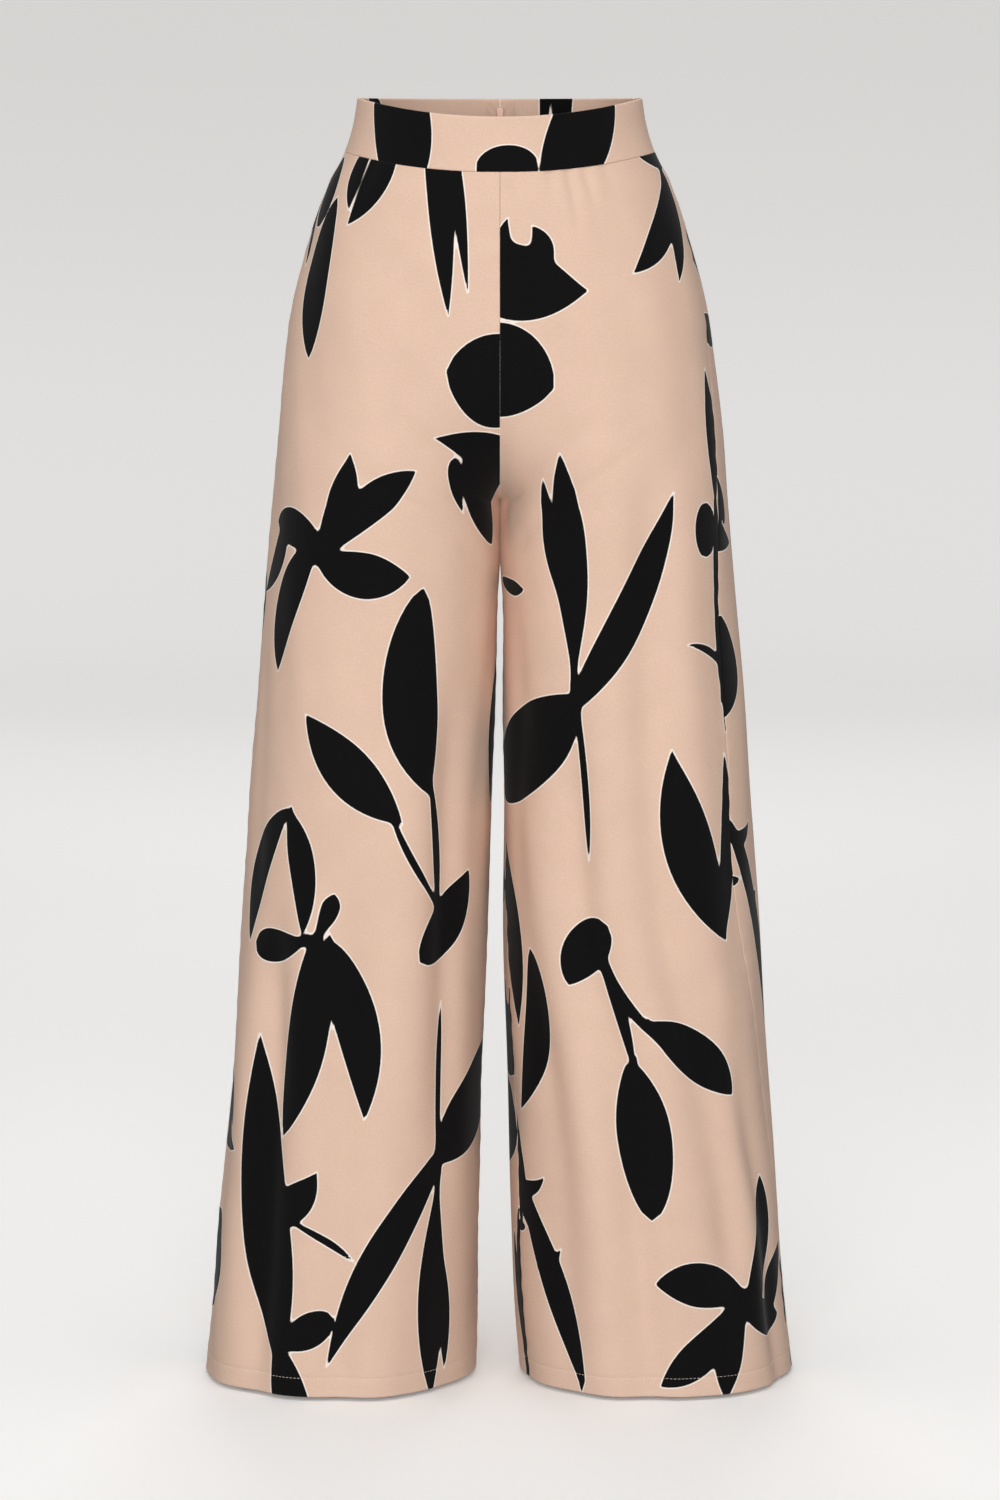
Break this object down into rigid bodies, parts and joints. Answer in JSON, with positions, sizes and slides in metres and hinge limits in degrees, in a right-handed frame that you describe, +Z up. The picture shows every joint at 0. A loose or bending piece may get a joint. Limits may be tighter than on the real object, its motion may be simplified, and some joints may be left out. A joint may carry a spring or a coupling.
{
  "type": "palazzo pants",
  "caption": "High-waisted palazzo pants with a flat waistband, wide straight legs and a concealed centre-back zip, filled out in their hollow worn form.",
  "frame": {"origin": "centre of the waist opening, halfway up the waistband at the sides, where the wearer holds the trousers up", "axes": "+Z up along the legs, +X towards the wearer's left side, +Y towards the back, so the front faces -Y"},
  "size_m": [0.4914, 0.2455, 1.058],
  "materials": {
    "cloth": "matt crepe, blush ground with a black cut-out leaf print outlined in cream",
    "zip_tape": "woven tape, dyed to match",
    "zip_coil": "nylon coil, dyed to match",
    "zip_metal": "painted zinc, satin"
  },
  "bodies": {
    "garment": {"waistband_front": "cloth", "waistband_back_left": "cloth", "waistband_back_right": "cloth", "front_panel_left": "cloth", "front_panel_right": "cloth", "back_panel_left": "cloth", "back_panel_right": "cloth", "zip_tape_left": "zip_tape", "zip_tape_right": "zip_tape", "zip_coil": "zip_coil", "zip_slider": "zip_metal"},
    "pull_tab": {"zip_pull": "zip_metal"}
  },
  "joints": [
    {"name": "pull_swing", "type": "hinge", "parent": "garment", "child": "pull_tab", "pos_m": [0, 0.09912, 0.013], "axis": [1, 0, 0], "range_deg": [0, 165]}
  ]
}
